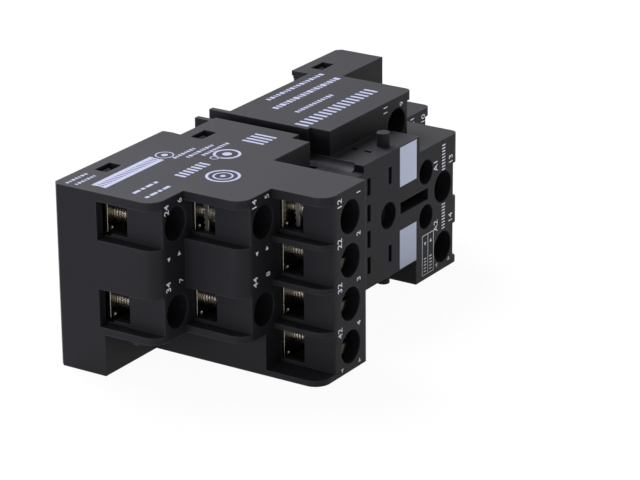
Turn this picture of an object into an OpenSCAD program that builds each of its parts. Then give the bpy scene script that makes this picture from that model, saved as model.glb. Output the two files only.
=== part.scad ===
// Fourteen-terminal screw socket for a plug-in relay, for a 35 mm rail or a panel.
// It lies on its side: +X runs from the eight-terminal end to the coil end,
// -Y points out of the relay side, +Z is the width, and the origin is the
// middle of the face that it lies on.
// In the modules, x is measured from the near end face and d is the height
// above the rail plane, so a point (x, d, z) stands at [x, -d, z].

/* [Overall] */
// Length from end face to end face
socket_l = 79.3; // [79.3:0.1:82]
// Width across the terminal columns
socket_w = 29.5; // [29.5:0.1:31]
// Thickness of the outer walls
wall = 1.3; // [1.1:0.05:1.4]
// Thickness of the thin wall behind each wire entry
skin = 1.1; // [0.8:0.1:1.2]
// Round at the outer corners of the terminal steps at the near end
corner_r = 2.5; // [1:0.1:2.8]
// Round at the outer corners of the terminal steps at the far end
far_corner_r = 1.4; // [0.8:0.1:1.8]

/* [Terminal steps] */
// Pitch of the terminal columns
column_pitch = 7; // [6.9:0.05:7.1]
// How far the columns sit below the middle of the width
column_drop = 0.25; // [0:0.05:0.4]
// Thickness of the ledges between the wire entries
ledge_t = 0.9; // [0.7:0.1:1.1]
// Height of the lowest step at the near end
low_h = 18.8; // [18.2:0.1:19.2]
// Height of the middle step
mid_h = 29.4; // [29:0.1:30]
// Height of the highest step
top_h = 39.2; // [38.6:0.1:40.5]
// Length of the lowest step
low_l = 7.5; // [7.4:0.1:7.8]
// Length of the middle step
mid_l = 7.7; // [7.6:0.1:7.9]
// Length of the highest step
top_l = 10.55; // [10.4:0.05:10.8]
// How far the bottom ledge of the highest step stands out past the others
bottom_ledge = 2.2; // [1.8:0.1:2.6]
// Depth of the wire entries at the near end
entry_depth = 2; // [1.8:0.1:2.1]
// Depth of the wire entries at the far end
far_entry_depth = 1.8; // [1.6:0.1:1.9]
// Height of the step at the far end
end_h = 18.5; // [18.2:0.1:19]
// Height of the common terminal beside the coil terminals
high_h = 22.5; // [22.2:0.1:22.8]
// Length of the foot at the far end, past the common terminal
foot_l = 12.5; // [12.3:0.1:13]
// Height of the foot plates at both ends
foot_h = 8.9; // [8.6:0.1:9.2]
// Height of the lowest wire entry floor below its step
entry_drop = 10.7; // [10.5:0.1:10.9]

/* [Relay side] */
// Height of the face that the relay sits on
relay_h = 29.3; // [29:0.1:29.6]
// Width of the pedestal under the relay
pedestal_w = 21; // [20.6:0.1:21.4]
// Far end of the pedestal, from the near end face
pedestal_x = 57.8; // [57.4:0.1:58.2]
// Reach of the coil terminal block above the middle of the width
coil_reach = 7.75; // [7.6:0.05:8]
// Far end of the coil terminal block, from the near end face
coil_x = 70.2; // [70:0.1:70.4]
// Pitch of the relay blades across the socket
blade_pitch = 4.4; // [4.3:0.05:4.5]
// Width of a blade slot
slot_w = 2.9; // [2.7:0.1:3.1]
// Gap of a blade slot
slot_gap = 1; // [0.8:0.1:1.1]
// Radius of the fixing hole
fixing_r = 1.75; // [1.6:0.05:1.9]
// Radius of the counterbore of the fixing hole
counterbore_r = 2.25; // [2.2:0.05:2.5]
// Radius of the pegs for a hold-down clip
peg_r = 1.05; // [0.9:0.05:1.2]
// Length of the pegs
peg_l = 2.3; // [1.8:0.1:2.8]

/* [Rail side] */
// Depth of the rail recess
rail_depth = 3.4; // [3.2:0.1:3.6]
// Start of the rail recess, from the near end face
rail_x = 28.3; // [28:0.1:28.6]
// Length of the rail recess
rail_l = 37.1; // [36.8:0.1:37.4]
// Width of the cross gap in the middle of the recess
gap_w = 3; // [2.6:0.1:3.2]
// Thickness of the rear covers
cover_t = 1.8; // [1.6:0.1:1.9]
// Width of the rail latch
latch_w = 9; // [8.5:0.1:9.4]
// Reach of the rail hooks over the rail edge
hook_reach = 1.5; // [1.2:0.1:1.8]

/* [Clamps and screws] */
// Radius of the screw thread
thread_r = 1.5; // [1.4:0.05:1.5]
// Radius of the screw head
head_r = 2.5; // [2.3:0.05:2.55]
// Height of the screw head
head_h = 2; // [1.6:0.1:2.2]
// Radius of the captive lock washer under the head
washer_r = 2.3; // [2.1:0.05:2.4]
// Thickness of the lock washer
washer_t = 0.8; // [0.6:0.1:0.9]
// Radius of the screwdriver openings
access_r = 2.7; // [2.65:0.05:2.75]
// Opening of a wire entry from the fixed plate to the clamp
entry_gap = 3.8; // [3.6:0.1:3.9]
// Thickness of a clamp plate
clamp_t = 0.9; // [0.7:0.1:1]
// How far the clamps of terminals 12 and 14 are screwed down
screwed_down = 3; // [0:0.1:3]

/* [Contacts] */
// Thickness of the contact metal
metal_t = 0.8; // [0.6:0.1:0.8]
// Width of the contact strips
strip_w = 1.8; // [1.4:0.1:1.8]
// Height of the fork bottoms above the rail plane
fork_h = 22.3; // [22:0.1:22.5]
// Wire radius of the latch spring
spring_wire_r = 0.2; // [0.15:0.05:0.25]

/* [Hidden] */
$fn = 48;
play = 0.05;                            // running clearance of the moving pieces
fit = 0.1;                              // clearance of the pieces that are assembled
over = 1;                               // overlap of the cutting shapes
top_x = low_l + mid_l;                  // ledges of the highest step
bay_x = top_x + top_l;                  // wall beside the relay
shoulder_x = bay_x + 10.15;             // end of the shoulder behind it
gap_x = shoulder_x + 2.1;               // cross gap
gap_end = gap_x + gap_w;
shoulder_h = 22.6;
gap_h = 19.2;                           // height of the near side of the gap
rail_end = rail_x + rail_l;
high_x = socket_l - foot_l;             // ledge of the common terminal
mid_z = socket_w / 2;
coil_w = mid_z + coil_reach;
column_mid = mid_z - column_drop;
cell_w = column_pitch - ledge_t;        // height of a wire entry recess
chamber_w = 5.8;                        // width of a clamp chamber
plate_rise = 0.4;                       // fixed plate above the entry floor
clamp_play = 0.15;                      // room above an open clamp
underside_z = column_mid - column_pitch - 0.75;
pedestal_z = [mid_z - pedestal_w / 2, mid_z + pedestal_w / 2];
deck_z = [pedestal_z[0] + 1.25, pedestal_z[1] - 1.25];
scoop_x = gap_end + 0.9;                // end wall above the deck, behind the saddle
scoop_h = 18.9;
saddle_end = relay_h - 1.8;
room_z = [deck_z[0] + 1.2, deck_z[1] - 1.2];
hall_z = [wall + 0.1, socket_w - wall - 0.2];
roof_h = relay_h - 1.5;                 // underside of the relay face
hall_h = 21.7;                          // roof of the strip halls
fork_len = roof_h - 0.3 - fork_h;
spring_x = [socket_l - 10.9, socket_l - 5.7];
spring_h = 5.2;
spring_r = 1.3;
travel = 3;                             // clamp travel

// Relay blade rows, from the near end face
closed_row = 31.95;
open_row = 36.1;
common_row = 42.45;
coil_row = 48.77;
common_hall_x = common_row - 0.8;        // halls under and behind the common row
fixing_x = 48.25;

// Each site of a terminal: ledge, inward direction, entry depth,
// screw axis behind the entry wall, height of the step, height of the entry floor
LOW = [0, 1, entry_depth, 3.2, low_h, low_h - entry_drop];
MID = [low_l, 1, entry_depth, 3.2, mid_h, low_h];
TOP = [top_x, 1, entry_depth, 4.2, top_h, mid_h];
HIGH = [high_x, -1, far_entry_depth, 3.3, high_h, high_h - entry_drop];
COIL = [coil_x, -1, far_entry_depth, 3.3, relay_h, end_h];
END = [socket_l, -1, far_entry_depth, 3.3, end_h, end_h - entry_drop];

function entry_wall(s) = s[0] + s[1] * s[2];
function screw_x(s) = entry_wall(s) + s[1] * s[3];
function plate_h(s) = s[5] + plate_rise;
function open_h(s) = plate_h(s) + entry_gap;
function column_z(c) = column_mid + (2.5 - c) * column_pitch;
function chamber_z(c) = [column_z(c) - chamber_w / 2, column_z(c) + chamber_w / 2];
function blade_z(k) = mid_z + (2.5 - k) * blade_pitch;

// Each terminal: name, site, column, blade row, blade column, strip level,
// and the strip's turns as [x, z] points between its plate and its fork
function turn(x, z0, z1) = [[x, z0], [x, z1]];
function near_route(c, x, k) = turn(x, column_z(c), blade_z(k));
function end_route(c, lane, k) =
    concat(turn(high_x + 3.2, column_z(c), lane), turn(43.6, lane, blade_z(k)));
tube_r = fixing_r + 1.4;                 // outside of the fixing hole's tube
lane_21 = mid_z + tube_r + 1.3;
lane_31 = mid_z - tube_r - 1.3;
TERMINALS = [
    ["24", LOW, 1, open_row, 2, plate_h(LOW), near_route(1, 34, 2)],
    ["34", LOW, 3, open_row, 3, plate_h(LOW), near_route(3, 34, 3)],
    ["14", MID, 1, open_row, 1, plate_h(MID), near_route(1, 34, 1)],
    ["44", MID, 3, open_row, 4, plate_h(MID), near_route(3, 34, 4)],
    ["12", TOP, 1, closed_row, 1, 21.4, near_route(1, 30, 1)],
    ["22", TOP, 2, closed_row, 2, 21.4, near_route(2, 30, 2)],
    ["32", TOP, 3, closed_row, 3, 21.4, near_route(3, 30, 3)],
    ["42", TOP, 4, closed_row, 4, 21.4, near_route(4, 30, 4)],
    ["11", HIGH, 1, common_row, 1, plate_h(HIGH), near_route(1, 44, 1)],
    ["21", END, 2, common_row, 2, plate_h(END), end_route(2, lane_21, 2)],
    ["31", END, 3, common_row, 3, plate_h(END), end_route(3, lane_31, 3)],
    ["41", END, 4, common_row, 4, plate_h(END), near_route(4, 43.6, 4)],
    ["A1", COIL, 2.5, coil_row, 1, plate_h(COIL), near_route(2.5, 56, 1)],
    ["A2", COIL, 4, coil_row, 4, plate_h(COIL), near_route(4, 60, 4)]
];

function lowered(t) = t[0] == "12" || t[0] == "14" ? screwed_down : 0;

// A block between pairs of x, d and z
module block(x, d, z) {
    translate([min(x), -max(d), min(z)])
        cube([abs(x[1] - x[0]), abs(d[1] - d[0]), abs(z[1] - z[0])]);
}

// A round bar out of the relay side, at (x, z) from height d[0] to d[1]
module round_bar(x, z, d, r) {
    translate([x, -d[0], z])
        rotate([90, 0, 0])
            cylinder(h = d[1] - d[0], r = r);
}

// An outline of [x, d] points, extruded over a range of z
module profile(points, z) {
    translate([0, 0, z[0]])
        linear_extrude(z[1] - z[0])
            polygon([for (p = points) [p[0], -p[1]]]);
}

// What is cut away to round an outer corner at (x, d) that opens towards -x (side 1) or +x (side -1)
module corner_cut(x, d, side, z, r) {
    difference() {
        block([x - side * over, x + side * r], [d - r, d + over], z);
        translate([x + side * r, r - d, z[0] - over])
            cylinder(h = z[1] - z[0] + 2 * over, r = r);
    }
}

// Everything is drawn from the near end face, then moved to the origin
module placed() {
    translate([-socket_l / 2, top_h / 2, 0])
        children();
}

// The outer form, without the entries and chambers
module near_form() {
    profile([
        [0.8, 0], [rail_x, 0], [rail_x + 0.2, rail_depth / 2], [rail_x, rail_depth],
        [gap_x, rail_depth], [gap_x, gap_h], [shoulder_x, gap_h], [shoulder_x, shoulder_h],
        [bay_x, shoulder_h], [bay_x, mid_h], [top_x - bottom_ledge, mid_h],
        [top_x - bottom_ledge, foot_h], [0, foot_h], [0, 0.8]
    ], [0, socket_w]);
    block([0, top_x + over], [0.8, low_h], [underside_z, socket_w]);
    block([low_l, top_x + over], [low_h - over, mid_h], [underside_z, socket_w]);
    block([top_x, bay_x], [mid_h - over, top_h], [0, socket_w]);
    block([top_x - bottom_ledge, top_x + over], [mid_h - over, top_h], [0, column_z(4)]);
    block([gap_x - 1, gap_x], [0, rail_depth + over], [0.3, socket_w - 0.3]);
}

module far_form() {
    profile([
        [gap_end, 0], [gap_end + 1, 0], [gap_end + 1, rail_depth], [rail_end, rail_depth],
        [rail_end, 0], [socket_l - 0.8, 0], [socket_l, 0.8], [socket_l, foot_h],
        [high_x, foot_h], [high_x, high_h], [gap_end, high_h]
    ], [0, socket_w]);
    block([high_x - over, socket_l], [foot_h - over, end_h], [0, coil_w]);
    for (s = [0, 1])
        mirrored(s)
            block([rail_end - 0.4, rail_end + over], [0, rail_depth + over], [socket_w - 0.85, socket_w]);
}

// The pedestal that carries the relay, with the lower deck beside the shoulder
module pedestal_form() {
    block([gap_end, pedestal_x], [foot_h, relay_h], pedestal_z);
    block([bay_x - over, gap_end + over], [shoulder_h - over, relay_h], deck_z);
    block([shoulder_x - over, gap_x], [gap_h - over, relay_h], deck_z);
    block([gap_x - over, gap_end + over], [rail_depth, relay_h - 1], [7.5, socket_w - 7.5]);
    block([pedestal_x - over, coil_x], [foot_h, relay_h], [0, coil_w]);
    for (s = [0, 1])
        mirrored(s)
            translate([fixing_x + 2.55, -26.75, pedestal_z[1] - over])
                cylinder(h = peg_l + over, r = peg_r);
}

// The saddle that runs up from the deck into the end wall
module saddle() {
    r = 2;
    difference() {
        block([scoop_x - r, scoop_x + over], [scoop_h, saddle_end], [deck_z[1] - 1.2, pedestal_z[1]]);
        round_bar(scoop_x - r, deck_z[1] + r, [scoop_h - over, saddle_end + over], r);
    }
}

// The shape as it is, or mirrored across the middle of the width
module mirrored(s) {
    translate([0, 0, s * socket_w])
        mirror([0, 0, s])
            children();
}

// Recess, wire entry, chamber and screwdriver opening of a terminal
module terminal_cut(t) {
    s = t[1];
    z = column_z(t[2]);
    w = entry_wall(s);
    cell = [z - cell_w / 2, z + cell_w / 2];
    low_z = t[0] == "42" ? wall - 0.35 : t[0] == "11" ? coil_w : cell[0];
    block([s[0] - s[1] * (bottom_ledge + over), w], [s[5], s[4] + over], [low_z, cell[1]]);
    block([w - s[1] * 0.5, w + s[1] * (skin + 0.5)], [s[5], open_h(s)], [z - 2.5, z + 2.5]);
    block([w + s[1] * 0.15, w + s[1] * (skin + 0.5)], [plate_h(s) - metal_t - play, s[5] + 0.5], [z - 2.5, z + 2.5]);
    block([w + s[1] * skin, screw_x(s) + s[1] * 2.6], [-over, open_h(s) + clamp_t + clamp_play], chamber_z(t[2]));
    round_bar(screw_x(s), z, [plate_h(s), s[4] + over], access_r);
}

// The halls behind the chambers, open to the rear, where the strips run
module strip_halls() {
    foot_room = foot_h - wall;
    block([wall + 0.2, rail_x], [-over, cover_t + 0.2], hall_z);
    for (c = [1:4])
        block([wall + 0.2, bay_x - over], [-over, c == 4 ? foot_room : plate_h(LOW) + 0.8], chamber_z(c));
    for (c = [1, 3])
        block([screw_x(MID), screw_x(TOP)], [-over, plate_h(MID) + 0.5],
            [column_z(c) - strip_w / 2 - 0.5, column_z(c) + strip_w / 2 + 0.5]);
    block([bay_x - 2.7, gap_x - skin], [-over, hall_h], hall_z);
    block([bay_x + 1.2, gap_x - skin], [hall_h - over, roof_h], room_z);
    block([common_hall_x, coil_row + 2], [hall_h - over, roof_h], room_z);
    block([common_hall_x, high_x - 3], [-over, plate_h(HIGH) + 0.7], hall_z);
    block([common_hall_x, pedestal_x - 0.8], [-over, hall_h], room_z);
    block([pedestal_x - 1.8, screw_x(COIL) - 2.5], [-over, hall_h], [wall + 0.1, coil_w - wall]);
    block([high_x - 4, socket_l - wall], [-over, foot_room], hall_z);
    block([high_x - 4, socket_l - wall], [-over, plate_h(END) + 0.8], [hall_z[0], coil_w - wall]);
}

// What is left standing in the halls: the walls between the forks and the fixing tube
module hall_ribs() {
    for (k = [1.5, 2.5, 3.5])
        block([closed_row - 2.5, common_row + 1.4], [fork_h + 0.2, roof_h + over],
            [blade_z(k) - 0.4, blade_z(k) + 0.4]);
    round_bar(fixing_x, mid_z, [rail_depth + cover_t + fit, roof_h + over], tube_r);
}

// Slots and holes of the relay face
module relay_face_cut() {
    for (x = [closed_row, open_row, common_row], k = [1:4])
        blade_slot(x, k);
    for (k = [1, 4])
        blade_slot(coil_row, k);
    round_bar(fixing_x, mid_z, [0, relay_h + over], fixing_r);
    round_bar(fixing_x, mid_z, [relay_h - 2, relay_h + over], counterbore_r);
    for (z = [mid_z - 3.85, mid_z + 3.85])
        round_bar(pedestal_x + 2, z, [relay_h - 6, relay_h + over], 2.1);
    block([51.9, 60.45], [relay_h - 5, relay_h + over], [mid_z - 1, mid_z + 1]);
    for (d = [23.5, 26.2])
        block([fixing_x - 1.45, fixing_x - 0.65], [d - 0.65, d + 0.65], [pedestal_z[1] - 1, socket_w]);
}

module blade_slot(x, k) {
    block([x - slot_gap / 2, x + slot_gap / 2], [roof_h - over, relay_h + over],
        [blade_z(k) - slot_w / 2, blade_z(k) + slot_w / 2]);
}

// Windows in the side walls for the hooks of the covers: start along x, height
WINDOWS = [[8, 1.9], [28.2, 5.4], [67.8, 1.9]];

module hook_windows() {
    for (w = WINDOWS, s = [0, 1])
        mirrored(s)
            block([w[0], w[0] + 3.9], [w[1], w[1] + 2.3], [hall_z[1] - over, socket_w + over]);
}

module housing() {
    color("#2b2b2f")
        difference() {
            union() {
                near_form();
                difference() {
                    union() {
                        far_form();
                        pedestal_form();
                    }
                    for (s = [0, 1])
                        mirrored(s)
                            block([gap_end - over, scoop_x], [scoop_h, saddle_end], [deck_z[1], socket_w + over]);
                }
                for (s = [0, 1])
                    mirrored(s)
                        saddle();
                translate([1.6, -14.2, underside_z - 0.7])
                    cylinder(h = 1, r = 1);
            }
            corner_cut(0, low_h, 1, [underside_z - over, socket_w + over], corner_r);
            corner_cut(low_l, mid_h, 1, [underside_z - over, socket_w + over], corner_r);
            corner_cut(top_x, top_h, 1, [column_z(4) + over, socket_w + over], corner_r);
            corner_cut(top_x - bottom_ledge, top_h, 1, [-over, column_z(4)], corner_r);
            corner_cut(high_x, high_h, -1, [coil_w, socket_w + over], far_corner_r);
            corner_cut(coil_x, relay_h, -1, [-over, coil_w + over], far_corner_r);
            corner_cut(socket_l, end_h, -1, [-over, coil_w + over], far_corner_r);
            difference() {
                union() {
                    for (t = TERMINALS)
                        terminal_cut(t);
                    strip_halls();
                }
                hall_ribs();
            }
            relay_face_cut();
            hook_windows();
            block([socket_l - 3, socket_l + over], [-over, 3.2],
                [column_mid - latch_w / 2 - fit, column_mid + latch_w / 2 + fit]);
        }
}

// A snap hook on the inner face of a cover, below a window
module cover_hook(w) {
    tab_z = hall_z[1] - fit;
    for (s = [0, 1])
        mirrored(s) {
            block([w[0] + 0.7, w[0] + 3.2], [w[1] - over, w[1] + 2], [tab_z - 1, tab_z]);
            profile_x([[tab_z - 0.5, w[1] + 0.3], [tab_z + 1, w[1] + 0.3], [tab_z + 0.2, w[1] + 2],
                [tab_z - 0.5, w[1] + 2]], [w[0] + 0.7, w[0] + 3.2]);
        }
}

// An outline of [z, d] points, extruded over a range of x
module profile_x(points, x) {
    translate([x[0], 0, 0])
        rotate([90, 0, 90])
            linear_extrude(x[1] - x[0])
                polygon([for (p = points) [-p[1], p[0]]]);
}

module near_cover() {
    x0 = wall + 0.2 + fit;
    z = [hall_z[0] + fit, hall_z[1] - fit];
    color("#26262a") {
        difference() {
            union() {
                block([x0, rail_x], [0.1, cover_t], z);
                block([rail_x - 1.6, rail_x], [0.1, rail_depth + cover_t], z);
                block([rail_x - 1.6, gap_x - skin - fit], [rail_depth, rail_depth + cover_t], z);
            }
            for (i = [0:4])
                block([4 + i * 4.4, 5.2 + i * 4.4], [-over, 0.6], [z[0] + 2, z[1] - 2]);
        }
        for (zh = [z[0] + 3, z[1] - 8])
            profile([[rail_x - over, 0.1], [rail_x + hook_reach - 0.6, 0.1], [rail_x + hook_reach, 0.7],
                [rail_x + hook_reach, 1.9], [rail_x - over, 1.9]], [zh, zh + 5]);
        for (i = [0, 1])
            cover_hook(WINDOWS[i]);
    }
}

module far_cover() {
    x1 = socket_l - wall - fit;
    z = [hall_z[0] + fit, hall_z[1] - fit];
    slot_z = [column_mid - latch_w / 2 - fit, column_mid + latch_w / 2 + fit];
    guide = latch_w / 2 + 1.2;
    color("#26262a") {
        difference() {
            union() {
                block([common_hall_x + fit, rail_end + 1.6], [rail_depth, rail_depth + cover_t], z);
                block([rail_end, rail_end + 1.6], [0.1, rail_depth + cover_t], z);
                block([rail_end, x1], [0.1, cover_t], z);
            }
            block([rail_end - over, rail_end + 1.6 + over], [-over, 3.1], slot_z);
            block([rail_end - over, x1 + over], [-over, cover_t + over], slot_z);
            round_bar(fixing_x, mid_z, [0, 9], fixing_r);
        }
        for (side = [-1, 1]) {
            rail_z = column_mid + side * guide;
            block([rail_end + 1, socket_l - 3.3], [cover_t - 0.5, 3.75], [rail_z, rail_z + side]);
            block([rail_end + 1, socket_l - 3.3], [3.05, 3.75], [rail_z - side * 0.7, rail_z + side]);
        }
        block([spring_x[1], spring_x[1] + 1], [3.05, 3.75], [column_mid - guide, column_mid + guide]);
        block([spring_x[1], spring_x[1] + 1], [3.05, 6.9], [column_mid - 1.5, column_mid + 1.5]);
        cover_hook(WINDOWS[2]);
    }
}

module rail_latch() {
    blade = [column_mid - latch_w / 2, column_mid + latch_w / 2];
    nose = rail_end - 3;
    flange = latch_w / 2 + 1.1;
    color("#2e2e33") {
        difference() {
            union() {
                profile([[nose + 1, 0.2], [socket_l - 0.1, 0.2], [socket_l - 0.1, 2.9], [nose + 1.8, 2.9],
                    [nose + 1.8, 1.8], [nose, 1.8], [nose, 1.1]], blade);
                block([rail_end + 1.8, socket_l - 4.3], [cover_t + play, 3], [column_mid - flange, column_mid + flange]);
            }
            block([socket_l - 2.4, socket_l - 1.2], [-over, 2.2], [column_mid - 2.5, column_mid + 2.5]);
        }
        block([spring_x[0] - 1, spring_x[0]], [2.5, 6.9], [column_mid - 1.5, column_mid + 1.5]);
    }
}

// A ring of points round the spring wire, at turn angle a
function spring_ring(a, sides) = [for (i = [0:sides - 1])
    let (b = 360 * i / sides,
         r = spring_r + spring_wire_r * cos(b),
         run = spring_x[1] - spring_x[0] - 2 * spring_wire_r - 0.1)
    [spring_x[0] + spring_wire_r + 0.05 + run * a / 1620 + spring_wire_r * sin(b),
        -spring_h + r * cos(a), column_mid + r * sin(a)]];

module latch_spring() {
    sides = 8;
    rings = 54;
    points = [for (j = [0:rings]) each spring_ring(1620 * j / rings, sides)];
    skin_faces = [for (j = [0:rings - 1], i = [0:sides - 1])
        [j * sides + i, j * sides + (i + 1) % sides, (j + 1) * sides + (i + 1) % sides, (j + 1) * sides + i]];
    caps = [[for (i = [sides - 1:-1:0]) i], [for (i = [0:sides - 1]) rings * sides + i]];
    color("#b9bcc0")
        polyhedron(points, concat(skin_faces, caps));
}

module terminal_screw(t) {
    s = t[1];
    top = open_h(s) + clamp_t + play - lowered(t);
    color("#c9c6bd")
        translate([screw_x(s), -top, column_z(t[2])])
            rotate([90, 0, 0]) {
                translate([0, 0, washer_t])
                    difference() {
                        union() {
                            cylinder(h = head_h - 0.4, r = head_r);
                            translate([0, 0, head_h - 0.4])
                                cylinder(h = 0.4, r1 = head_r, r2 = head_r - 0.4);
                        }
                        translate([-head_r - over, -0.35, head_h - 0.9])
                            cube([2 * (head_r + over), 0.7, 2]);
                        translate([-0.35, -1.5, head_h - 1.3])
                            cube([0.7, 3, 2]);
                    }
                cylinder(h = washer_t, r = washer_r);
                translate([0, 0, -5.9])
                    cylinder(h = 6, r = thread_r);
            }
}

// A square clamp plate with teeth on the side of the wire
module clamp_plate(t) {
    s = t[1];
    z = column_z(t[2]);
    d = open_h(s) - lowered(t);
    half = 2.6;
    teeth = 6;
    pitch = 2 * half / teeth;
    color("#d0cdc4")
        difference() {
            profile_x(concat(
                [[z - half, d + clamp_t], [z - half, d + 0.3]],
                [for (i = [0:teeth - 1]) each [
                    [z - half + (i + 0.5) * pitch, d], [z - half + (i + 1) * pitch, d + 0.3]]],
                [[z + half, d + clamp_t]]),
                [screw_x(s) - 2.1 + (s[1] < 0 ? -0.2 : 0.2), screw_x(s) + 2.1 + (s[1] < 0 ? -0.2 : 0.2)]);
            round_bar(screw_x(s), z, [d - over, d + clamp_t + over], thread_r + play);
        }
}

// A strip through a list of [x, z] points, below height d
module strip(points, d) {
    h = strip_w / 2;
    last = len(points) - 1;
    for (i = [0:last - 1]) {
        along = points[i][1] == points[i + 1][1] ? [0, h] : [h, 0];
        strip_stretch([points[i] - along, points[i + 1] + along], d);
    }
    for (i = [1:last - 1])
        strip_stretch([points[i] - [h, h], points[i] + [h, h]], d);
}

module strip_stretch(corners, d) {
    block([corners[0][0], corners[1][0]], [d - metal_t, d], [corners[0][1], corners[1][1]]);
}

// The two springy leaves that grip a relay blade
module fork(x, z) {
    half = 1.3;
    for (side = [-1, 1])
        profile([[x, fork_h], [x + side * 0.65, fork_h], [x + side * 0.65, fork_h + 2],
            [x + side * 0.55, fork_h + fork_len - 1], [x + side * 0.65, fork_h + fork_len],
            [x + side * 0.35, fork_h + fork_len], [x + side * 0.25, fork_h + fork_len - 1],
            [x + side * 0.3, fork_h + 1.5], [x + side * 0.3, fork_h + 0.6], [x, fork_h + 0.6]],
            [z - half, z + half]);
}

// Fixed plate, strip and fork of a terminal, bent from one piece
module contact(t) {
    s = t[1];
    z = column_z(t[2]);
    fork_x = t[3];
    fork_z = blade_z(t[4]);
    level = t[5];
    plate_x = entry_wall(s) + s[1] * 0.25;
    plate_end = screw_x(s) + s[1] * 2.4;
    color("#b8b09c")
        difference() {
            union() {
                block([plate_x, plate_end], [plate_h(s) - metal_t, plate_h(s)], [z - 2.4, z + 2.4]);
                block([plate_end - s[1] * metal_t, plate_end], [level - metal_t, plate_h(s)],
                    [z - strip_w / 2, z + strip_w / 2]);
                strip(concat([[plate_end - s[1] * strip_w / 2, z]], t[6], [[fork_x, fork_z]]), level);
                block([fork_x - metal_t / 2, fork_x + metal_t / 2], [level - metal_t, fork_h + 0.6],
                    [fork_z - strip_w / 2, fork_z + strip_w / 2]);
                fork(fork_x, fork_z);
            }
            translate([plate_x + s[1] * 0.9, -plate_h(s) - 0.15, z - 1.9])
                sphere(r = 0.45);
            round_bar(screw_x(s), z, [plate_h(s) - metal_t - over, plate_h(s) + over], thread_r + play);
        }
}

placed() housing();
placed() near_cover();
placed() far_cover();
placed() rail_latch();
placed() latch_spring();
for (t = TERMINALS) {
    placed() terminal_screw(t);
    placed() clamp_plate(t);
    placed() contact(t);
}
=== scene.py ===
import math

import bmesh
import bpy
from mathutils import Euler, Matrix, Vector


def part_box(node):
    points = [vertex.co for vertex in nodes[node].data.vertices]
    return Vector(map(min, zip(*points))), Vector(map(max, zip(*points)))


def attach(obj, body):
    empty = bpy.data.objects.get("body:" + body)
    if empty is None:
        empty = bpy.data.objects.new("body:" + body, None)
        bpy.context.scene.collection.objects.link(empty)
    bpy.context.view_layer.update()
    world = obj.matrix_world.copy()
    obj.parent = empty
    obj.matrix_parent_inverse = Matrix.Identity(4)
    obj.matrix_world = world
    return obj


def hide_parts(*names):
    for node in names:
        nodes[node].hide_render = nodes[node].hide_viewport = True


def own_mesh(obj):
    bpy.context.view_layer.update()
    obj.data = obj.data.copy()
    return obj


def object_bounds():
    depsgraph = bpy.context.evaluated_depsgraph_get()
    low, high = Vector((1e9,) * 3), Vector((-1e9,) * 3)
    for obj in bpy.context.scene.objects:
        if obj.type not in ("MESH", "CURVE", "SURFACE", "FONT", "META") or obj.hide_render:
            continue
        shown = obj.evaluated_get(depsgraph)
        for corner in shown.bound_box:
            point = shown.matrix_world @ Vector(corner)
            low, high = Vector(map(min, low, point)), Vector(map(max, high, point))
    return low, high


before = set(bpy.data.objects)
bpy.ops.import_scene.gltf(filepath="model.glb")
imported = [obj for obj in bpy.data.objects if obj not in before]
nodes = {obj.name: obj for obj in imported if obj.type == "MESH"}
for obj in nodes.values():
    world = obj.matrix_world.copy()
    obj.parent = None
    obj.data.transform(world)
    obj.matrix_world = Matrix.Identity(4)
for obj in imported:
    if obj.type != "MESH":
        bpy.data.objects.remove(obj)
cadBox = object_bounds()
mm = 0.001
weld = 0.001 * mm          # points nearer than this are one point
lowX, backY, topZ = cadBox[0].x, cadBox[1].y, cadBox[1].z
print("frame loaded")


def at(x, d, z):
    # x from the near end face, d out from the rail plane, z up across the width, all in mm
    return Vector((lowX + x * mm, backY - d * mm, z * mm))


def colour(hexCode, brightness=1.0):
    # sRGB hex to the linear values that the shaders take
    parts = [int(hexCode[i:i + 2], 16) / 255 for i in (1, 3, 5)]
    linear = [c / 12.92 if c <= 0.04045 else ((c + 0.055) / 1.055) ** 2.4 for c in parts]
    return tuple(c * brightness for c in linear) + (1.0,)


def perMm(size):
    # texture scale for a pattern whose features are size mm wide
    return 1 / (size * mm)


def addNode(tree, kind, settings=None, links=None):
    # one node, its settings or socket values, and its links as {input: (node, output)};
    # inputs that share a name are given by their number
    node = tree.nodes.new(kind)
    for name, value in (settings or {}).items():
        if isinstance(name, str) and hasattr(node, name) and name not in node.inputs:
            setattr(node, name, value)
        else:
            node.inputs[name].default_value = value
    for name, (source, output) in (links or {}).items():
        tree.links.new(source.outputs[output], node.inputs[name])
    return node


def newMaterial(name):
    material = bpy.data.materials.new(name)
    material.use_nodes = True
    tree = material.node_tree
    tree.nodes.clear()
    return material, tree


def makeObject(name, bm, material, body, smoothAngle=None):
    bmesh.ops.recalc_face_normals(bm, faces=bm.faces)
    mesh = bpy.data.meshes.new(name)
    bm.to_mesh(mesh)
    bm.free()
    if smoothAngle is not None:
        mesh.shade_smooth()
        mesh.set_sharp_from_angle(angle=math.radians(smoothAngle))
    mesh.materials.append(material)
    piece = bpy.data.objects.new(name, mesh)
    bpy.context.scene.collection.objects.link(piece)
    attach(piece, body)
    return piece


cameraSetup = {
    "place": (-369.3, -243.5, 179.87),   # mm
    "turn": (69.15, 0.446, -57.02),      # degrees
    "lens": 167.72,                      # mm
    "sensor": 36,                        # mm wide
    "nearest": 10,                       # mm, nothing closer is drawn
}
studio = {
    "floor": "#f2f2f2",
    "floorReach": 3.0,   # m from its middle to each side
    "floorGlow": 0.95,   # share of white that is seen, the rest is the paper with its shadow
    "world": 0.25,
    "tint": "#f2f3ff",
    "lamps": {
        # name: (place in mm, size in mm, watts)
        "topSoftbox": ((70, 260, 400), 320, 4.55),
        "endSoftbox": ((-560, 40, 120), 200, 1.2),
    },
}

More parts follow.
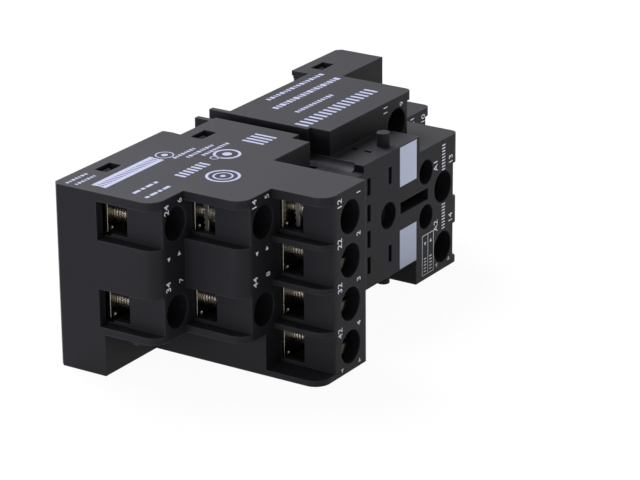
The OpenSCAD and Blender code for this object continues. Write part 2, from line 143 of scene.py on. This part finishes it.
cameraData = bpy.data.cameras.new("camera")
cameraData.lens = cameraSetup["lens"]
cameraData.sensor_width = cameraSetup["sensor"]
cameraData.clip_start = cameraSetup["nearest"] * mm
camera = bpy.data.objects.new("camera", cameraData)
camera.location = Vector(cameraSetup["place"]) * mm
camera.rotation_euler = Euler([math.radians(a) for a in cameraSetup["turn"]], "XYZ")
bpy.context.scene.collection.objects.link(camera)
bpy.context.scene.camera = camera
bpy.context.scene.view_settings.view_transform = "Standard"


def seenRays(tree):
    # 1 for what the camera sees, straight, mirrored or through glass
    rays = addNode(tree, "ShaderNodeLightPath")
    mirrored = addNode(tree, "ShaderNodeMath", {"operation": "ADD", "use_clamp": True},
                       {0: (rays, "Is Camera Ray"), 1: (rays, "Is Glossy Ray")})
    return addNode(tree, "ShaderNodeMath", {"operation": "ADD", "use_clamp": True},
                   {0: (mirrored, "Value"), 1: (rays, "Is Transmission Ray")})


def makeFloor():
    material, tree = newMaterial("paper sweep")
    paper = addNode(tree, "ShaderNodeBsdfDiffuse", {"Color": colour(studio["floor"])})
    glow = addNode(tree, "ShaderNodeEmission", {"Color": colour("#ffffff"), "Strength": 1.0})
    weight = addNode(tree, "ShaderNodeMath", {"operation": "MULTIPLY", 1: studio["floorGlow"]},
                     {0: (seenRays(tree), "Value")})
    mixed = addNode(tree, "ShaderNodeMixShader", {},
                    {"Fac": (weight, "Value"), 1: (paper, "BSDF"), 2: (glow, "Emission")})
    addNode(tree, "ShaderNodeOutputMaterial", {}, {"Surface": (mixed, "Shader")})
    bm = bmesh.new()
    bmesh.ops.create_grid(bm, x_segments=1, y_segments=1, size=studio["floorReach"])
    mesh = bpy.data.meshes.new("floor")
    bm.to_mesh(mesh)
    bm.free()
    mesh.materials.append(material)
    floor = bpy.data.objects.new("floor", mesh)
    bpy.context.scene.collection.objects.link(floor)


def lightScene():
    world = bpy.data.worlds.new("studio")
    bpy.context.scene.world = world
    world.use_nodes = True
    tree = world.node_tree
    tree.nodes.clear()
    ambient = addNode(tree, "ShaderNodeBackground",
                      {"Color": colour("#ffffff"), "Strength": studio["world"]})
    white = addNode(tree, "ShaderNodeBackground", {"Color": colour("#ffffff"), "Strength": 1.0})
    mixed = addNode(tree, "ShaderNodeMixShader", {},
                    {"Fac": (seenRays(tree), "Value"),
                     1: (ambient, "Background"), 2: (white, "Background")})
    addNode(tree, "ShaderNodeOutputWorld", {}, {"Surface": (mixed, "Shader")})
    aim = (cadBox[0] + cadBox[1]) / 2
    for name, (place, size, watts) in studio["lamps"].items():
        data = bpy.data.lights.new(name, "AREA")
        data.shape = "DISK"
        data.size = size * mm
        data.energy = watts
        data.color = colour(studio["tint"])[:3]
        lamp = bpy.data.objects.new(name, data)
        lamp.location = Vector(place) * mm
        lamp.rotation_euler = (aim - lamp.location).to_track_quat("-Z", "Y").to_euler()
        bpy.context.scene.collection.objects.link(lamp)


makeFloor()
lightScene()
print("studio ready")


edgeSamples = 6      # rays for each rounded edge, painted edge highlight and painted shade in hollows


def patchyColour(tree, coords, hexCode, patch, detail, shades):
    # a colour that drifts over patches, with shades as (value of the pattern, brightness) pairs
    pattern = addNode(tree, "ShaderNodeTexNoise", {"Scale": perMm(patch), "Detail": detail},
                      {"Vector": (coords, "Object")})
    tint = addNode(tree, "ShaderNodeValToRGB", {}, {"Fac": (pattern, "Fac")})
    for stop, (value, brightness) in zip(tint.color_ramp.elements, shades):
        stop.position = value
        stop.color = colour(hexCode, brightness)
    return pattern, tint


plasticSkin = {
    "patch": 9,                            # width of the faint clouds, mm
    "patchDetail": 2.0,
    "shades": ((0.3, 0.93), (0.7, 1.07)),
    "dullest": 0.62,                       # roughness
    "glossiest": 0.46,
    "grainBump": 0.25,
    "grainDepth": 0.02,                    # mm
    "highlightReach": 1.2,                      # in edge radii
    "highlightFrom": 0.85,                      # share of open air inside the edge, from no painted highlight to full
    "highlightTo": 0.4,
    "ior": 1.53,
    "gloss": 0.12,                         # low, because the grain scatters it
}


def mouldedPolyamide(name, hexCode, highlightedHex, grain, edge):
    # glass-filled polyamide from a spark-eroded mould: matt, slightly cloudy, with soft edges
    s = plasticSkin
    material, tree = newMaterial(name)
    coords = addNode(tree, "ShaderNodeTexCoord")
    cloud, tint = patchyColour(tree, coords, hexCode, s["patch"], s["patchDetail"], s["shades"])
    # real spark grain is about 0.05 mm, drawn wider so that it shows
    spark = addNode(tree, "ShaderNodeTexNoise",
                    {"Scale": perMm(grain), "Detail": 3.0, "Roughness": 0.6},
                    {"Vector": (coords, "Object")})
    sheen = addNode(tree, "ShaderNodeMapRange", {"To Min": s["glossiest"], "To Max": s["dullest"]},
                    {"Value": (spark, "Fac")})
    rounded = addNode(tree, "ShaderNodeBevel", {"samples": edgeSamples, "Radius": edge * mm})
    bump = addNode(tree, "ShaderNodeBump",
                   {"Strength": s["grainBump"], "Distance": s["grainDepth"] * mm},
                   {"Height": (spark, "Fac"), "Normal": (rounded, "Normal")})
    # the outer edges are painted paler in a thin, uneven line: a painted highlight where handling
    # has polished them
    solid = addNode(tree, "ShaderNodeAmbientOcclusion",
                    {"samples": edgeSamples, "inside": True,
                     "Distance": edge * s["highlightReach"] * mm})
    highlightMask = addNode(tree, "ShaderNodeMapRange",
                     {"From Min": s["highlightFrom"], "From Max": s["highlightTo"]},
                     {"Value": (solid, "AO"), "To Max": (cloud, "Fac")})
    highlighted = addNode(tree, "ShaderNodeMixRGB", {"Color2": colour(highlightedHex)},
                   {"Fac": (highlightMask, "Result"), "Color1": (tint, "Color")})
    shader = addNode(tree, "ShaderNodeBsdfPrincipled",
                     {"IOR": s["ior"], "Specular IOR Level": s["gloss"]},
                     {"Base Color": (highlighted, "Color"), "Roughness": (sheen, "Result"),
                      "Normal": (bump, "Normal")})
    addNode(tree, "ShaderNodeOutputMaterial", {}, {"Surface": (shader, "BSDF")})
    return material


metalSkin = {
    "patch": 1.6,                          # width of the stains, mm
    "patchDetail": 3.0,
    "shades": ((0.35, 0.8), (0.6, 1.0)),
    "dullest": 1.4,                        # times the metal's own roughness
    "glossiest": 0.7,
    "lineBump": 0.3,
    "lineDepth": 0.008,                    # mm
    "highlightFrom": 0.995,                     # how far the rounded normal follows the flat one, no painted highlight to full painted highlight
    "highlightTo": 0.93,                        # unworn to worn
    # colour of the painted shade in hollows
    "hollowShade": "#16130f",
    "hollowShadeReach": 0.35,                    # mm
    "hollowShadeFrom": 0.3,                      # share of open air, full painted shade to none
    "hollowShadeTo": 0.7,
}


def platedSteel(name, faceHex, edgeHighlightHex, rough, streak, stretch, edge):
    # plated metal: fine lines left by rolling or turning, dulled faces, edges painted bright as a
    # painted highlight, and hollows painted dark as painted shade
    s = metalSkin
    material, tree = newMaterial(name)
    coords = addNode(tree, "ShaderNodeTexCoord")
    turned = addNode(tree, "ShaderNodeMapping", {"Scale": stretch}, {"Vector": (coords, "Object")})
    lines = addNode(tree, "ShaderNodeTexNoise", {"Scale": perMm(streak), "Detail": 4.0},
                    {"Vector": (turned, "Vector")})
    tint = patchyColour(tree, coords, faceHex, s["patch"], s["patchDetail"], s["shades"])[1]
    sheen = addNode(tree, "ShaderNodeMapRange",
                    {"To Min": rough * s["glossiest"], "To Max": rough * s["dullest"]},
                    {"Value": (lines, "Fac")})
    # the rounded normal leaves the flat one only beside an edge
    rounded = addNode(tree, "ShaderNodeBevel", {"samples": edgeSamples, "Radius": edge * mm})
    flat = addNode(tree, "ShaderNodeNewGeometry")
    likeness = addNode(tree, "ShaderNodeVectorMath", {"operation": "DOT_PRODUCT"},
                       {0: (rounded, "Normal"), 1: (flat, "Normal")})
    highlightMask = addNode(tree, "ShaderNodeMapRange",
                     {"From Min": s["highlightFrom"], "From Max": s["highlightTo"]},
                     {"Value": (likeness, "Value")})
    # the edges get a brighter colour: a painted highlight
    highlighted = addNode(tree, "ShaderNodeMixRGB", {"Color2": colour(edgeHighlightHex)},
                   {"Fac": (highlightMask, "Result"), "Color1": (tint, "Color")})
    bump = addNode(tree, "ShaderNodeBump",
                   {"Strength": s["lineBump"], "Distance": s["lineDepth"] * mm},
                   {"Height": (lines, "Fac"), "Normal": (rounded, "Normal")})
    # the thread roots and inner corners are painted darker: painted shade where little light
    # reaches
    hollow = addNode(tree, "ShaderNodeAmbientOcclusion",
                     {"samples": edgeSamples, "Distance": s["hollowShadeReach"] * mm})
    unshaded = addNode(tree, "ShaderNodeMapRange",
                    {"From Min": s["hollowShadeFrom"], "From Max": s["hollowShadeTo"]},
                    {"Value": (hollow, "AO")})
    hollowShaded = addNode(tree, "ShaderNodeMixRGB", {"Color1": colour(s["hollowShade"])},
                     {"Fac": (unshaded, "Result"), "Color2": (highlighted, "Color")})
    shader = addNode(tree, "ShaderNodeBsdfPrincipled", {"Metallic": 1.0},
                     {"Base Color": (hollowShaded, "Color"), "Roughness": (sheen, "Result"),
                      "Normal": (bump, "Normal")})
    addNode(tree, "ShaderNodeOutputMaterial", {}, {"Surface": (shader, "BSDF")})
    return material


inkSkin = {
    "patch": 0.4,          # width of the thin places, mm
    "patchDetail": 2.0,
    "thinUpTo": 0.3,       # values of the pattern
    "fullFrom": 0.55,
    "roughness": 0.6,
}


def padPrintInk(name, hexCode, thinnest):
    # thin matt pad-printing ink with a slightly uneven cover
    s = inkSkin
    material, tree = newMaterial(name)
    coords = addNode(tree, "ShaderNodeTexCoord")
    shades = ((s["thinUpTo"], thinnest), (s["fullFrom"], 1.0))
    tint = patchyColour(tree, coords, hexCode, s["patch"], s["patchDetail"], shades)[1]
    shader = addNode(tree, "ShaderNodeBsdfPrincipled", {"Roughness": s["roughness"]},
                     {"Base Color": (tint, "Color")})
    addNode(tree, "ShaderNodeOutputMaterial", {}, {"Surface": (shader, "BSDF")})
    return material


plastics = {
    # name: (face, painted edge highlight, width of the grain in mm, edge radius in mm)
    "black moulded polyamide": ("#1c1c1f", "#424247", 0.16, 0.25),
    "black cover polyamide": ("#1a1a1f", "#3c3c44", 0.2, 0.12),
    "black latch polyamide": ("#1f1f25", "#424249", 0.2, 0.12),
}
metals = {
    # name: (face, painted edge highlight, roughness, width of the lines in mm, squeeze of the
    # lines along x, y and z, edge radius in mm)
    "nickel plated rolled thread": ("#efe6dd", "#fdf8f2", 0.22, 0.12, (1, 4, 1), 0.02),
    # the screw heads are dark: painted shade for heads that sit deep in their bores
    "shade darkened screw head": ("#4a4840", "#75736a", 0.42, 0.12, (1, 4, 1), 0.08),
    "zinc plated washer steel": ("#cfccc3", "#f4f1e8", 0.24, 0.1, (1, 4, 1), 0.06),
    "zinc plated pressed steel": ("#aeaba1", "#e6e3d9", 0.28, 0.1, (1, 1, 5), 0.1),
    "tinned rolled brass": ("#8a8678", "#dddbd2", 0.24, 0.1, (6, 1, 1), 0.1),
    "drawn spring wire": ("#a9acaf", "#c4c7ca", 0.25, 0.08, (5, 1, 1), 0.03),
}
inks = {
    # name: (colour, brightness where the ink is thin)
    "white pad print": ("#f1f1f5", 0.92),
    # the white ink dimmed for the upper side face: painted shade against the stronger light there
    "dimmed white pad print": ("#9496ab", 0.88),
    "pale marking field": ("#cbd2e4", 0.97),
}
housingPlastic, coverPlastic, latchPlastic = [
    mouldedPolyamide(name, *finish) for name, finish in plastics.items()]
screwSteel, shadedHeadSteel, washerSteel, clampSteel, contactBrass, springSteel = [
    platedSteel(name, *finish) for name, finish in metals.items()]
numberInk, dimmedMarkInk, fieldInk = [padPrintInk(name, *finish) for name, finish in inks.items()]

nodeSkins = {
    # start of a node's name: its material
    "housing": housingPlastic, "near_cover": coverPlastic, "far_cover": coverPlastic,
    "rail_latch": latchPlastic, "latch_spring": springSteel, "clamp_plate": clampSteel,
    "contact": contactBrass, "terminal_screw": screwSteel,
}
for node, part in nodes.items():
    for start, skin in nodeSkins.items():
        if node.startswith(start):
            for slot in part.material_slots:
                slot.material = skin
print("materials assigned")


def closeEnds(bm):
    rims = [e for e in bm.edges if e.is_boundary]
    bmesh.ops.holes_fill(bm, edges=rims, sides=0)


screwShape = {
    # lengths in mm, up from the tip to the head
    "shaft": 5.9,          # from the washer to the tip
    "room": 0.8,           # for the washer under the head
    "smooth": 32,          # degrees
}
thread = {
    "pitch": 0.5,
    "root": 1.17,          # radius
    "crest": 1.5,          # radius
    "flanks": (0.06, 0.19, 0.31, 0.44),  # heights where the tooth rises and falls again
    "gap": 0.1,            # from the head to the first turn
    "stepsPerTurn": 28,
    "weld": 0.004,         # joins one turn to the next
}
lockWasher = {
    "bore": 1.6,           # radius
    "rim": 2.28,           # radius
    "wire": 0.58,
    "turn": 352,           # degrees, short of a full turn by its split
    "play": 0.04,
    "gap": 0.02,           # to the head
    "steps": 48,
}


def cutHead(bm, node, underside):
    # the head with its cross recess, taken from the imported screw
    bm.from_mesh(nodes[node].data)
    bmesh.ops.remove_doubles(bm, verts=bm.verts, dist=weld)
    cut = bmesh.ops.bisect_plane(bm, geom=bm.verts[:] + bm.edges[:] + bm.faces[:], dist=weld / 10,
                                 plane_co=(0, underside, 0), plane_no=(0, 1, 0), clear_outer=True)
    rim = [e for e in cut["geom_cut"] if isinstance(e, bmesh.types.BMEdge)]
    bmesh.ops.holes_fill(bm, edges=rim, sides=0)


def spinOpen(bm, outline, centre, turn, rise, steps):
    # sweep an outline of (radius, height) pairs round the screw's axis while it rises
    points = [bm.verts.new((centre.x + r * mm, centre.y + y * mm, centre.z)) for r, y in outline]
    edges = [bm.edges.new(pair) for pair in zip(points, points[1:])]
    if outline[0] == outline[-1]:
        bmesh.ops.remove_doubles(bm, verts=points, dist=weld)
        points = [v for v in points if v.is_valid]
        edges = [e for e in edges if e.is_valid]
    bmesh.ops.spin(bm, geom=points + edges, cent=centre, axis=(0, 1, 0),
                   dvec=(0, rise * mm / steps, 0), angle=math.radians(turn), steps=steps)


def addThread(bm, centre):
    # one tooth of the thread, swept round the axis while it sinks by its pitch each turn
    s = thread
    pitch, root, crest = s["pitch"], s["root"], s["crest"]
    turns = round((screwShape["shaft"] + screwShape["room"]) / pitch)
    radii = (root, crest, crest, root)
    tooth = [(root, 0.0)] + list(zip(radii, s["flanks"])) + [(root, pitch)]
    spinOpen(bm, tooth, centre, 360 * turns, pitch * turns, s["stepsPerTurn"] * turns)
    bmesh.ops.remove_doubles(bm, verts=bm.verts, dist=s["weld"] * mm)
    closeEnds(bm)


def addLockWasher(bm, centre):
    # a split spring washer: one open turn of square wire
    s = lockWasher
    bore, rim, wire = s["bore"], s["rim"], s["wire"]
    section = [(bore, 0.0), (rim, 0.0), (rim, wire), (bore, wire), (bore, 0.0)]
    spinOpen(bm, section, centre, s["turn"], screwShape["room"] - wire - s["play"], s["steps"])
    closeEnds(bm)


def makeScrew(node):
    s = screwShape
    low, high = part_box(node)
    middle = (low + high) / 2
    headFoot = high.y - (s["shaft"] + s["room"]) * mm
    body = "screw_" + node.split("_")[-1]
    made = []
    bm = bmesh.new()
    cutHead(bm, node, headFoot)
    made.append(makeObject(node + "_head", bm, shadedHeadSteel, body, smoothAngle=s["smooth"]))
    bm = bmesh.new()
    addThread(bm, Vector((middle.x, headFoot - thread["gap"] * mm, middle.z)))
    made.append(makeObject(node + "_thread", bm, screwSteel, body, smoothAngle=s["smooth"]))
    bm = bmesh.new()
    addLockWasher(bm, Vector((middle.x, headFoot + lockWasher["gap"] * mm, middle.z)))
    made.append(makeObject(node + "_lock_washer", bm, washerSteel, body, smoothAngle=s["smooth"]))
    for piece in made:
        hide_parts(node)


for node in sorted(nodes):
    if node.startswith("terminal_screw"):
        makeScrew(node)
print("screws threaded")


latchSpring = {
    "coil": 1.3,        # radius of the wire's middle, mm
    "wire": 0.2,        # radius
    "gap": 0.02,        # at both ends
    "turns": 4.5,
    "stepsPerTurn": 32,
    "sides": 10,
    "smooth": 60,       # degrees
}


def makeLatchSpring():
    s = latchSpring
    low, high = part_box("latch_spring")
    middle = (low + high) / 2
    inset = (s["wire"] + s["gap"]) * mm
    start = Vector((low.x + inset, middle.y, middle.z))
    run = high.x - low.x - 2 * inset
    steps = round(s["turns"] * s["stepsPerTurn"])
    bm = bmesh.new()
    ring = bmesh.ops.create_circle(bm, cap_ends=False, segments=s["sides"], radius=s["wire"] * mm)
    # the ring of wire stands across the coil's path, one coil radius out from its axis
    upright = Matrix.Rotation(math.radians(90), 3, "X")
    bmesh.ops.rotate(bm, verts=ring["verts"], cent=(0, 0, 0), matrix=upright)
    bmesh.ops.translate(bm, verts=ring["verts"], vec=start + Vector((0, 0, s["coil"] * mm)))
    bmesh.ops.spin(bm, geom=bm.verts[:] + bm.edges[:], cent=start, axis=(1, 0, 0),
                   dvec=(run / steps, 0, 0), angle=2 * math.pi * s["turns"], steps=steps)
    closeEnds(bm)
    coil = makeObject("latch_spring_coil", bm, springSteel, "socket", smoothAngle=s["smooth"])
    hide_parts("latch_spring")
    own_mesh(coil)


makeLatchSpring()
print("spring wound")


printing = {
    "thick": 0.012,         # ink film, mm
    "digits": 1.15,         # height of the terminal numbers, mm
    "smallDigits": 1.02,    # height of the single numbers
    "wider": 1.05,          # than the font's own letters
    "swell": 0.004,         # added round the strokes, in letter sizes
    "depth": 0.01,          # of the letters as they are set, in letter sizes
    "weld": 0.0005,         # mm
    "arrow": 0.44,          # radius
    "roundSides": 40,
}
# steps of the housing that carry print, as heights out from the rail plane in mm
stepHeights = {
    "first": 18.8, "second": 29.4, "third": 39.2, "commons": 22.5, "far": 18.5, "relay": 29.3,
}
terminalNumbers = {
    # step: (text, place along the socket, place across the width)
    "first": [("24", 3.15, 27.7), ("6", 6.5, 28.3), ("34", 3.15, 15.5), ("7", 6.4, 15.6)],
    "second": [("14", 10.6, 28.3), ("5", 13.9, 28.7), ("44", 10.6, 16.0), ("8", 13.95, 16.3)],
    "third": [("12", 18.6, 27.8), ("1", 23.8, 28.2), ("22", 18.6, 21.5), ("2", 23.8, 21.6),
              ("32", 18.6, 14.4), ("3", 23.8, 14.3), ("42", 18.6, 7.1), ("4", 23.8, 7.1)],
    "commons": [("11", 58.4, 28.3), ("9", 63.3, 28.1)],
    "far": [("21", 73.3, 21.4), ("10", 76.8, 20.9)],
    "relay": [("A1", 62.9, 18.8), ("13", 67.7, 18.5), ("A2", 63.0, 8.3), ("14", 67.7, 8.3)],
}
wireArrows = {
    # step: (place along, place across, whether it points up)
    "first": [(3.35, 19.9, True), (6.0, 20.0, False)],
    "second": [(11.05, 20.5, True), (13.7, 20.45, False)],
    "third": [(19.05, 0.9, True), (23.9, 0.85, False)],
    "relay": [(63.25, 1.35, True), (67.1, 1.25, False)],
}


def addSlab(bm, size, matrix):
    # a thin closed slab of ink, half sunk in its face, size along the local x and y
    made = bmesh.ops.create_cube(bm, size=1.0)
    scale = Matrix.Diagonal((size[0] * mm, size[1] * mm, printing["thick"] * 2 * mm, 1))
    bmesh.ops.transform(bm, matrix=matrix @ scale, verts=made["verts"])


def addDisc(bm, radius, matrix, sides=printing["roundSides"], hole=0.0):
    # a disc or a ring of ink
    made = bmesh.ops.create_circle(bm, cap_ends=hole == 0, segments=sides, radius=radius * mm)
    if hole:
        inner = bmesh.ops.create_circle(bm, cap_ends=False, segments=sides, radius=hole * mm)
        loops = [e for v in made["verts"] + inner["verts"] for e in v.link_edges]
        flat = bmesh.ops.bridge_loops(bm, edges=list(dict.fromkeys(loops)))["faces"]
    else:
        flat = list(dict.fromkeys(f for v in made["verts"] for f in v.link_faces))
    raised = bmesh.ops.extrude_face_region(bm, geom=flat, use_keep_orig=True)["geom"]
    lifted = [v for v in raised if isinstance(v, bmesh.types.BMVert)]
    bmesh.ops.translate(bm, vec=(0, 0, printing["thick"] * mm), verts=lifted)
    everyVert = list(dict.fromkeys(v for f in flat for v in f.verts)) + lifted
    bmesh.ops.transform(bm, matrix=matrix, verts=everyVert)


def addArrow(bm, radius, matrix, up):
    turn = Matrix.Rotation(math.radians(90 if up else -90), 4, "Z")
    addDisc(bm, radius, matrix @ turn, sides=3)


def facing(place, along, up):
    # a frame on a face: local x along the words, local y up, local z out of the face
    x, y = Vector(along), Vector(up)
    return Matrix.Translation(place) @ Matrix((x, y, x.cross(y))).transposed().to_4x4()


def onFront(x, step, z):
    # the words on the relay side read upwards, with their heads towards the near end
    return facing(at(x, stepHeights[step], z), (0, 0, 1), (-1, 0, 0))


def onSide(x, d):
    # the marks on the upper side face read from the far end, with their heads towards the rail
    return facing(at(x, d, topZ / mm), (-1, 0, 0), (0, -1, 0))


def addWord(bm, text, height, matrix):
    curve = bpy.data.curves.new("word", "FONT")
    curve.body = text
    curve.align_x = "CENTER"
    curve.align_y = "CENTER"
    curve.extrude = printing["depth"]
    curve.offset = printing["swell"]
    holder = bpy.data.objects.new("word", curve)
    bpy.context.scene.collection.objects.link(holder)
    bpy.context.view_layer.update()
    settled = holder.evaluated_get(bpy.context.evaluated_depsgraph_get())
    mesh = bpy.data.meshes.new_from_object(settled)
    ys = [v.co.y for v in mesh.vertices]
    grow = height * mm / (max(ys) - min(ys))
    flatten = printing["thick"] * mm / printing["depth"]
    mesh.transform(matrix @ Matrix.Diagonal((grow * printing["wider"], grow, flatten, 1)))
    bm.from_mesh(mesh)
    bpy.data.objects.remove(holder)
    bpy.data.curves.remove(curve)
    bpy.data.meshes.remove(mesh)


def printTerminalNumbers():
    bm = bmesh.new()
    for step, words in terminalNumbers.items():
        for text, x, z in words:
            height = printing["digits" if len(text) > 1 else "smallDigits"]
            addWord(bm, text, height, onFront(x, step, z))
    bmesh.ops.remove_doubles(bm, verts=bm.verts, dist=printing["weld"] * mm)
    makeObject("printed_terminal_numbers", bm, numberInk, "socket")


def printArrows():
    bm = bmesh.new()
    for step, arrows in wireArrows.items():
        for x, z, up in arrows:
            addArrow(bm, printing["arrow"], onFront(x, step, z), up)
    makeObject("printed_arrows", bm, numberInk, "socket")


markingFields = {
    "size": (6.65, 5.1),          # across the socket and along it, mm
    "x": 54.3,
    "middles": (21.75, 7.7),
}


def printMarkingFields():
    bm = bmesh.new()
    f = markingFields
    for z in f["middles"]:
        addSlab(bm, f["size"], onFront(f["x"], "relay", z))
    makeObject("marking_fields", bm, fieldInk, "socket")


coilMarks = {
    # all in mm; sizes are across the socket and along it
    "bars": {"x": 65.35, "middles": (19.5, 9.3), "count": 9, "step": 0.52, "size": (0.2, 1.0)},
    "box": {"x": 60.5, "z": 4.3, "long": 6.9, "wide": 3.5, "line": 0.13},
    "ticks": {"count": 5, "margin": 0.6, "step": 0.55, "size": (0.2, 0.75)},
    "arrows": {"radius": 0.42, "rise": 2.0},
}


def printCoilMarks():
    # a row of bars beside each coil terminal, and a ruled box of two columns of ticks and arrows
    bm = bmesh.new()
    bars, box, ticks, arrows = [coilMarks[k] for k in ("bars", "box", "ticks", "arrows")]
    x, z, long, wide, line = [box[k] for k in ("x", "z", "long", "wide", "line")]
    for middle in bars["middles"]:
        for i in range(bars["count"]):
            place = middle + (i - (bars["count"] - 1) / 2) * bars["step"]
            addSlab(bm, bars["size"], onFront(bars["x"], "relay", place))
    for side in (-1, 1):
        addSlab(bm, (long, line), onFront(x + side * wide / 2, "relay", z))
        addSlab(bm, (line, wide), onFront(x, "relay", z + side * long / 2))
    addSlab(bm, (long, line), onFront(x, "relay", z))
    for side in (-1, 1):
        column = x + side * wide / 4
        for i in range(ticks["count"]):
            place = z - long / 2 + ticks["margin"] + i * ticks["step"]
            addSlab(bm, ticks["size"], onFront(column, "relay", place))
        addArrow(bm, arrows["radius"], onFront(column, "relay", z + arrows["rise"]), side < 0)
    makeObject("printed_coil_marks", bm, numberInk, "socket")


sideMarks = {
    # broken lines: from x, to x, distance from the rail plane, height, lengths of the dashes, gap
    "lines": [
        (1.0, 6.2, 2.0, 0.6, (0.45, 0.3, 0.6), 0.3),
        (1.2, 6.2, 3.6, 0.6, (0.3, 0.55, 0.45), 0.3),
        (18.6, 24.0, 9.1, 0.7, (0.5, 0.3, 0.45), 0.3),
        (20.0, 27.0, 10.6, 0.7, (0.35, 0.6, 0.3), 0.3),
        (22.0, 29.0, 12.1, 0.7, (0.5, 0.4, 0.3), 0.3),
        (2.6, 9.2, 13.2, 0.6, (1.6, 0.8), 0.4),
        (2.0, 8.6, 15.9, 0.6, (0.8, 1.6), 0.4),
        (47.0, 58.0, 12.8, 0.85, (0.5, 0.35, 0.6), 0.35),
        (46.7, 65.6, 8.8, 1.15, (0.7, 0.45, 0.9, 0.35), 0.4),
        (49.8, 66.4, 5.4, 0.9, (0.55, 0.8, 0.35), 0.4),
    ],
    # rings and dots: x, distance from the rail plane, outer radius, inner radius
    "rings": [
        (19.05, 7.0, 1.5, 1.28), (19.05, 7.0, 0.55, 0.0),
        (24.5, 14.9, 2.2, 1.75), (24.5, 14.9, 0.75, 0.0),
        (22.1, 14.3, 0.8, 0.62),
        (15.9, 20.1, 2.7, 2.25), (15.9, 20.1, 1.6, 1.3), (15.9, 20.1, 0.45, 0.0),
    ],
    # rows of bars: first x, step, count, distance from the rail plane, width, height
    "bars": [
        (12.6, 1.05, 7, 14.6, 0.55, 2.0),
        (31.2, 1.15, 4, 15.2, 0.55, 4.0),
        (42.2, 1.36, 16, 17.0, 0.62, 2.5),
    ],
    # a pale strip with a row of narrow slots down its middle
    "strip": {
        "x": 9.75, "d": 6.95, "long": 14.9, "wide": 2.7,
        "rim": 0.75, "slots": 21, "solid": 0.66, "overlap": 0.02,
    },
}


def printSideMarks():
    bm = bmesh.new()
    for start, end, d, height, lengths, gap in sideMarks["lines"]:
        x, i = start, 0
        while x < end:
            run = min(lengths[i % len(lengths)], end - x)
            if run > gap / 2:
                addSlab(bm, (run, height), onSide(x + run / 2, d))
            x += run + gap
            i += 1
    for x, d, outer, inner in sideMarks["rings"]:
        addDisc(bm, outer, onSide(x, d), hole=inner)
    for start, step, count, d, width, height in sideMarks["bars"]:
        for i in range(count):
            addSlab(bm, (width, height), onSide(start + i * step, d))
    strip = sideMarks["strip"]
    x, d, long, wide, rim = [strip[k] for k in ("x", "d", "long", "wide", "rim")]
    for side in (-1, 1):
        addSlab(bm, (long, rim), onSide(x, d + side * (wide - rim) / 2))
    webs = strip["slots"] + 1
    pitch = long / webs
    for i in range(webs):
        place = x - long / 2 + (i + 0.5) * pitch
        size = (pitch * strip["solid"], wide - 2 * rim + strip["overlap"])
        addSlab(bm, size, onSide(place, d))
    makeObject("printed_side_marks", bm, dimmedMarkInk, "socket")


printTerminalNumbers()
printArrows()
printMarkingFields()
printCoilMarks()
printSideMarks()
print("print done")
